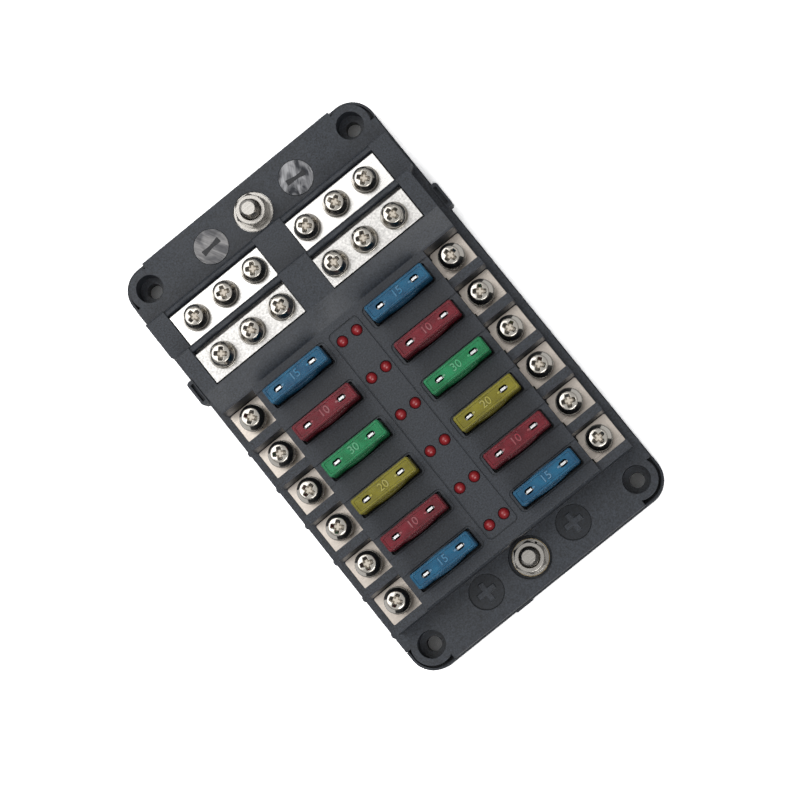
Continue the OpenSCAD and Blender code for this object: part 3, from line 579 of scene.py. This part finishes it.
# Clamp screws: cone head with a cross recess, split washer and flat washer
screwShape = {
    "shank": 2.0, "shankEnd": -7.7, "shankChamfer": 0.5, "washer": 3.75, "washerHeight": 0.8,
    "split": 3.3, "splitHeight": 1.2, "splitPlay": 0.1, "splitLift": 0.18,
    "head": 3.45, "headHeight": 2.9, "headFoot": 0.5, "coneInset": 0.15, "coneStart": 0.85,
    "top": 2.45, "lip": 0.1, "lipDrop": 0.2, "lipEdge": 0.07, "soft": 0.12,
    "recessReach": 1.9, "recessHalf": 0.66, "recessDepth": 0.8,
}
splitGap = 14  # degrees left open in a split washer


def screwMesh(shape):
    size = {key: value * mm for key, value in shape.items()}
    shank, washer, head, soft = size["shank"], size["washer"], size["head"], size["soft"]
    washerTop = size["washerHeight"]
    bm = bmesh.new()
    # washer and shank
    spinProfile(bm, [
        (0, size["shankEnd"]), (shank - size["shankChamfer"], size["shankEnd"]),
        (shank, size["shankEnd"] + size["shankChamfer"]), (shank, 0),
        (washer - soft, 0), (washer, soft), (washer, washerTop - soft), (washer - soft, washerTop),
        (shank, washerTop)])
    # head, from its underside to the edge of its flat top
    foot = washerTop + size["splitHeight"]
    top = foot + size["headHeight"]
    flat = size["top"] - soft
    spinProfile(bm, [
        (shank, foot), (head - soft, foot), (head, foot + soft), (head, foot + size["headFoot"]),
        (head - size["coneInset"], foot + size["coneStart"]),
        (size["top"] + size["lip"], top - size["lipDrop"]),
        (size["top"], top - size["lipEdge"]), (flat, top)])
    # split washer: a square section turned nearly once round while it climbs a little
    inner, splitTop = shank + size["splitPlay"], foot - size["splitLift"]
    section = [(inner, washerTop), (size["split"], washerTop), (size["split"], splitTop), (inner, splitTop)]
    start = bm.faces.new([bm.verts.new((radius, 0, height)) for radius, height in section])
    steps = 40
    bmesh.ops.spin(bm, geom=[start], cent=(0, 0, 0), axis=(0, 0, 1), dvec=(0, 0, size["splitLift"] / steps),
                   angle=math.radians(360 - splitGap), steps=steps, use_duplicate=False)
    # the floor of the recess takes the second material
    sunk = crossTop(bm, flat, top, size["recessReach"], size["recessHalf"], size["recessDepth"], 0.5)
    for face in sunk:
        face.normal_update()
        face.material_index = int(abs(face.normal.z) > 0.9)
    return meshFrom("screw", bm, 32)


clampScrew = screwMesh(screwShape)
# distances between the terminals' screws, between the bus's screws, and down to the lower bus step
screwSpacing = {"row": 12.5, "bus": 10.05, "stepDrop": 7.5}
rowPitch, busPitch, stepDrop = [value * mm for value in screwSpacing.values()]
washer = screwShape["washer"] * mm
terminalTop = boxOf("output_terminal_right_1")[1].z
terminalHigh = boxOf("terminal_screws")[1]
terminalSpots = []
for side in sides.values():
    for row in range(rowCount):
        y = terminalHigh.y - washer - row * rowPitch
        terminalSpots.append((side * (terminalHigh.x - washer), y, terminalTop))
screwLow, screwHigh = boxOf("bus_screws")
upperStep = boxOf("negative_bus")[1].z
lowerStep = upperStep - stepDrop
busSpots = []
for side in sides.values():
    for along in range(3):
        x = side * (screwHigh.x - washer - along * busPitch)
        busSpots.append((x, screwLow.y + washer, upperStep))
        busSpots.append((x, screwHigh.y - washer, lowerStep))
# how far each screw happens to be turned, in degrees
terminalTurns = [math.radians(a) for a in (38, 62, 20, 45, 71, 33, 15, 52, 28, 40, 66, 8)]
busTurns = [math.radians(a) for a in (50, 12, 34, 70, 25, 58, 18, 41, 64, 30, 5, 47)]
screwSets = {"terminal_screws": (terminalSpots, terminalTurns), "bus_screws": (busSpots, busTurns)}
for node, (spots, turns) in screwSets.items():
    bm = bmesh.new()
    addCopies(bm, clampScrew, spots, turns)
    piece = finishMesh(node.replace("_s", "S"), meshFrom(node, bm, 32), "box", "screw")
    piece.data.materials.append(finishes["recess"])
    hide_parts(node)
print("clamp screws placed:", len(terminalSpots) + len(busSpots))

# Power studs with real threads
studShape = {"radius": 2.5, "pitch": 0.8, "threadDepth": 0.42, "crest": (0.42, 0.58),
             "tip": 0.5, "tipTaper": 0.78, "plug": 4.5, "plugHeight": 3.0}


def studMesh(low, high, centre, shape):
    bm = bmesh.new()
    radius, pitch, depth = shape["radius"] * mm, shape["pitch"] * mm, shape["threadDepth"] * mm
    plugTop = low + shape["plugHeight"] * mm
    topCut = high - shape["tip"] * mm
    turns = math.ceil((topCut - plugTop) / pitch) + 2
    start = plugTop - pitch
    crestLow, crestHigh = [pitch * share for share in shape["crest"]]
    tooth = [(radius - depth, 0), (radius, crestLow), (radius, crestHigh), (radius - depth, pitch)]
    verts = [bm.verts.new((x, 0, start + z)) for x, z in tooth]
    edges = [bm.edges.new(pair) for pair in zip(verts, verts[1:])]
    steps = 32
    bmesh.ops.spin(bm, geom=verts + edges, cent=(0, 0, 0), axis=(0, 0, 1), dvec=(0, 0, pitch / steps),
                   angle=2 * math.pi * turns, steps=steps * turns)
    bmesh.ops.remove_doubles(bm, verts=bm.verts, dist=1e-6)
    for height, facing in ((topCut, 1), (plugTop, -1)):
        cut = bmesh.ops.bisect_plane(bm, geom=list(bm.verts) + list(bm.edges) + list(bm.faces),
                                     plane_co=(0, 0, height), plane_no=(0, 0, facing), clear_outer=True)
        loop = [item for item in cut["geom_cut"] if isinstance(item, bmesh.types.BMEdge)]
        if facing > 0:
            raised = bmesh.ops.extrude_edge_only(bm, edges=loop)["geom"]
            tipVerts = [item for item in raised if isinstance(item, bmesh.types.BMVert)]
            bmesh.ops.translate(bm, vec=(0, 0, high - topCut), verts=tipVerts)
            bmesh.ops.scale(bm, vec=(shape["tipTaper"], shape["tipTaper"], 1), verts=tipVerts)
            loop = [item for item in raised if isinstance(item, bmesh.types.BMEdge)]
        bmesh.ops.edgeloop_fill(bm, edges=loop)
    plug = shape["plug"] * mm
    spinProfile(bm, [(0, low), (plug, low), (plug, plugTop), (0, plugTop)])
    bmesh.ops.translate(bm, vec=(centre.x, centre.y, 0), verts=bm.verts)
    return meshFrom("stud", bm, 28)


for end in ("positive", "negative"):
    low, high = boxOf(f"{end}_stud")
    piece = finishMesh(f"{end}ThreadedStud", studMesh(low.z, high.z, middle(f"{end}_stud"), studShape),
                       "box", "stud")
    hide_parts(f"{end}_stud")
print("studs placed")

# Polarity marks: dark minus bars on the metal discs, plus signs raised in round hollows
discLift = 0.1 * mm  # how far the metal discs stand above the deck
deckTop = boxOf("minus_disc_left")[1].z - discLift
plusShape = {"reach": 2.9, "half": 0.78, "rise": 0.36, "taper": 0.94, "disc": 4.8, "drop": 0.42,
             "depth": 0.5, "soft": 0.12}
minusShape = {"length": 5.9, "width": 1.7, "waist": 0.6, "flare": 2.4, "rise": 0.05, "corner": 0.2,
              "turn": {"left": 6, "right": -6}}


# a flat bar that narrows towards its middle, on top of its disc
def minusMesh(centre, shape, turn):
    bm = bmesh.new()
    bmesh.ops.create_cube(bm, size=1.0)
    long = [e for e in bm.edges if abs((e.verts[0].co - e.verts[1].co).normalized().x) > 0.9]
    bmesh.ops.subdivide_edges(bm, edges=long, cuts=5, use_grid_fill=True)
    for vert in bm.verts:
        spread = min(1.0, abs(vert.co.x) * shape["flare"]) ** 2
        vert.co.y *= shape["waist"] + (1 - shape["waist"]) * spread
    length, width, rise = shape["length"] * mm, shape["width"] * mm, shape["rise"] * mm
    bmesh.ops.scale(bm, vec=(length, width, rise * 2), verts=bm.verts)
    # only the corners at the bar's two ends are rounded
    upright = [e for e in bm.edges if abs((e.verts[0].co - e.verts[1].co).normalized().z) > 0.9
               and abs(e.verts[0].co.x) > length * 0.49]
    bevelEdges(bm, upright, shape["corner"] * mm)
    bmesh.ops.rotate(bm, cent=(0, 0, 0), matrix=Matrix.Rotation(math.radians(turn), 3, "Z"), verts=bm.verts)
    bmesh.ops.translate(bm, vec=(centre.x, centre.y, deckTop + discLift), verts=bm.verts)
    return meshFrom("minusMark", bm)


# a thin disc with a plus raised from it
def plusMesh(x, y, shape):
    size = {key: value * mm for key, value in shape.items() if key != "taper"}
    bm = bmesh.new()
    top = -size["drop"]
    flat = size["disc"] - size["soft"]
    spinProfile(bm, [(0, -size["depth"]), (size["disc"], -size["depth"]), (size["disc"], top - size["soft"]),
                     (flat, top)])
    raised = crossTop(bm, flat, top, size["reach"], size["half"], -size["rise"], shape["taper"],
                      2 * roundSteps)
    for face in raised:
        face.material_index = 1
    bmesh.ops.translate(bm, vec=(x, y, deckTop), verts=bm.verts)
    return meshFrom("plusDisc", bm, 32)


discPlace = {side: middle(f"minus_disc_{side}") for side in sides}
positiveCentre = middle("positive_nut")
negativeCentre = middle("negative_nut")
plusRow = positiveCentre.y - (discPlace["left"].y - negativeCentre.y)
for side in sides:
    finishMesh(f"minusMark_{side}", minusMesh(discPlace[side], minusShape, minusShape["turn"][side]),
               "box", "mark")
    piece = finishMesh(f"plusDisc_{side}", plusMesh(discPlace[side].x, plusRow, plusShape),
                       "box", "plus")
    piece.data.materials.append(finishes["black"])
print("polarity marks placed")

# Amp numbers raised on the fuse tops, in a paler tint that is a painted glint
ampShape = {"size": 3.1, "rise": 0.2, "edge": 0.05, "panel": 0.2, "lift": 0.06,
            "pip": 0.38, "pipReach": 4.15, "pipScale": (1.25, 0.9, 0.35)}
ampNumbers = ["15", "10", "30", "20", "10", "15"]


# raised number with a small pip on each side of it
def numberMesh(words, place, shape):
    curve = bpy.data.curves.new("ampNumber", "FONT")
    curve.body = words
    curve.size = shape["size"] * mm
    curve.extrude = shape["rise"] * mm / 2
    curve.bevel_depth = shape["edge"] * mm
    curve.align_x = "CENTER"
    curve.align_y = "CENTER"
    holder = bpy.data.objects.new("ampNumber", curve)
    scene.collection.objects.link(holder)
    mesh = bpy.data.meshes.new_from_object(holder.evaluated_get(bpy.context.evaluated_depsgraph_get()))
    bpy.data.objects.remove(holder)
    bm = bmesh.new()
    bm.from_mesh(mesh)
    for way in (-1, 1):
        pip = bmesh.ops.create_uvsphere(bm, u_segments=16, v_segments=8, radius=shape["pip"] * mm)["verts"]
        bmesh.ops.scale(bm, vec=shape["pipScale"], verts=pip)
        bmesh.ops.translate(bm, vec=(way * shape["pipReach"] * mm, 0, 0), verts=pip)
    bmesh.ops.translate(bm, vec=place, verts=bm.verts)
    return meshFrom("ampNumber", bm)


for side in sides:
    for row, words in enumerate(ampNumbers, 1):
        case = f"fuse_case_{side}_{row}"
        centre, top = middle(case), boxOf(case)[1].z
        place = (centre.x, centre.y, top + (ampShape["lift"] - ampShape["panel"]) * mm)
        colour = fuseColours[row - 1]
        finishMesh(f"ampNumber_{side}_{row}", numberMesh(words, place, ampShape), f"fuse_{side}_{row}",
                   f"{colour}PaintedGlint")
print("amp numbers placed")


# Camera, light and floor

cameraPlace = {"location": (34.75, -91.0, 762.2), "turn": (3.4948, 6.2949, -38.6664), "lens": 127.754}
cameraData = bpy.data.cameras.new("photoCamera")
cameraData.lens = cameraPlace["lens"]
cameraData.sensor_width = 36.0
cameraData.clip_start = 0.01
camera = bpy.data.objects.new("photoCamera", cameraData)
camera.location = [v * mm for v in cameraPlace["location"]]
camera.rotation_euler = [math.radians(v) for v in cameraPlace["turn"]]
scene.collection.objects.link(camera)
scene.camera = camera


# two softboxes aimed at the box, each with its place, size and power
lightPlan = {
    "overhead": {"place": (-0.385, 0.475, 1.1), "size": (0.93, 0.75), "power": 4.9},
    "frontFill": {"place": (-0.05, -0.72, 1.0), "size": (0.6, 0.5), "power": 4.0},
}
lightAim = Vector((0, 0, 0.015))


def addSoftbox(name, plan):
    data = bpy.data.lights.new(name, "AREA")
    data.shape = "RECTANGLE"
    data.size, data.size_y = plan["size"]
    data.energy = plan["power"]
    lamp = bpy.data.objects.new(name, data)
    lamp.location = plan["place"]
    lamp.rotation_euler = (lightAim - Vector(plan["place"])).to_track_quat("-Z", "Y").to_euler()
    scene.collection.objects.link(lamp)


for name, plan in lightPlan.items():
    addSoftbox(name, plan)

# A studio room: bright above and darker towards the horizon, and white to the camera
world = bpy.data.worlds.new("studio")
scene.world = world
world.use_nodes = True
worldTree = world.node_tree
worldTree.nodes.clear()
roomLook = {"horizon": 0.05, "zenith": 0.66, "fadeFrom": 0.3, "fadeTo": 0.95}
sky = worldTree.nodes.new("ShaderNodeTexCoord")
parts = worldTree.nodes.new("ShaderNodeSeparateXYZ")
worldTree.links.new(sky.outputs["Generated"], parts.inputs[0])
height = mapRange(worldTree, parts.outputs["Z"], roomLook["fadeFrom"], roomLook["fadeTo"],
                  roomLook["horizon"], roomLook["zenith"])
room = addNode(worldTree, "ShaderNodeBackground")
room.inputs["Color"].default_value = (1, 1, 1, 1)
worldTree.links.new(height, room.inputs["Strength"])
path = worldTree.nodes.new("ShaderNodeLightPath")
white = addNode(worldTree, "ShaderNodeBackground", Strength=1.0)
white.inputs["Color"].default_value = (1, 1, 1, 1)
worldMix = worldTree.nodes.new("ShaderNodeMixShader")
worldOut = worldTree.nodes.new("ShaderNodeOutputWorld")
worldTree.links.new(path.outputs["Is Camera Ray"], worldMix.inputs[0])
worldTree.links.new(room.outputs[0], worldMix.inputs[1])
worldTree.links.new(white.outputs[0], worldMix.inputs[2])
worldTree.links.new(worldMix.outputs[0], worldOut.inputs["Surface"])

# The floor is matt. The camera and clear plastic see it lighter than it lights the box
floorLook = {"half": 3.0, "height": -0.0002, "seen": (2.9, 2.9, 2.9), "lit": (0.8, 0.8, 0.8), "reach": 0.02}
bm = bmesh.new()
bmesh.ops.create_grid(bm, x_segments=1, y_segments=1, size=floorLook["half"])
floorMesh = bpy.data.meshes.new("floor")
bm.to_mesh(floorMesh)
bm.free()
floor = bpy.data.objects.new("floor", floorMesh)
floor.location.z = floorLook["height"]
scene.collection.objects.link(floor)
floorMaterial = bpy.data.materials.new("paleFloor")
floorMaterial.use_nodes = True
floorTree = floorMaterial.node_tree
floorTree.nodes.clear()
floorPath = floorTree.nodes.new("ShaderNodeLightPath")
seen = mathNode(floorTree, "MAXIMUM", floorPath.outputs["Is Camera Ray"],
                floorPath.outputs["Is Transmission Ray"])
matt = addNode(floorTree, "ShaderNodeBsdfDiffuse")
# down in the screw holes the floor is painted dark, a painted shade
around = groupNode(floorTree, shutIn, Reach=floorLook["reach"])
paintedHoleShade = mapRange(floorTree, around.outputs["Mask"], 0.75, 1.0, 0.0, 1.0)
brightness = mixColour(floorTree, paintedHoleShade, floorLook["seen"], floorLook["lit"])
floorTree.links.new(mixColour(floorTree, seen, floorLook["lit"], brightness), matt.inputs["Color"])
floorOut = floorTree.nodes.new("ShaderNodeOutputMaterial")
floorTree.links.new(matt.outputs[0], floorOut.inputs["Surface"])
floorMesh.materials.append(floorMaterial)
print("camera, light and floor set")
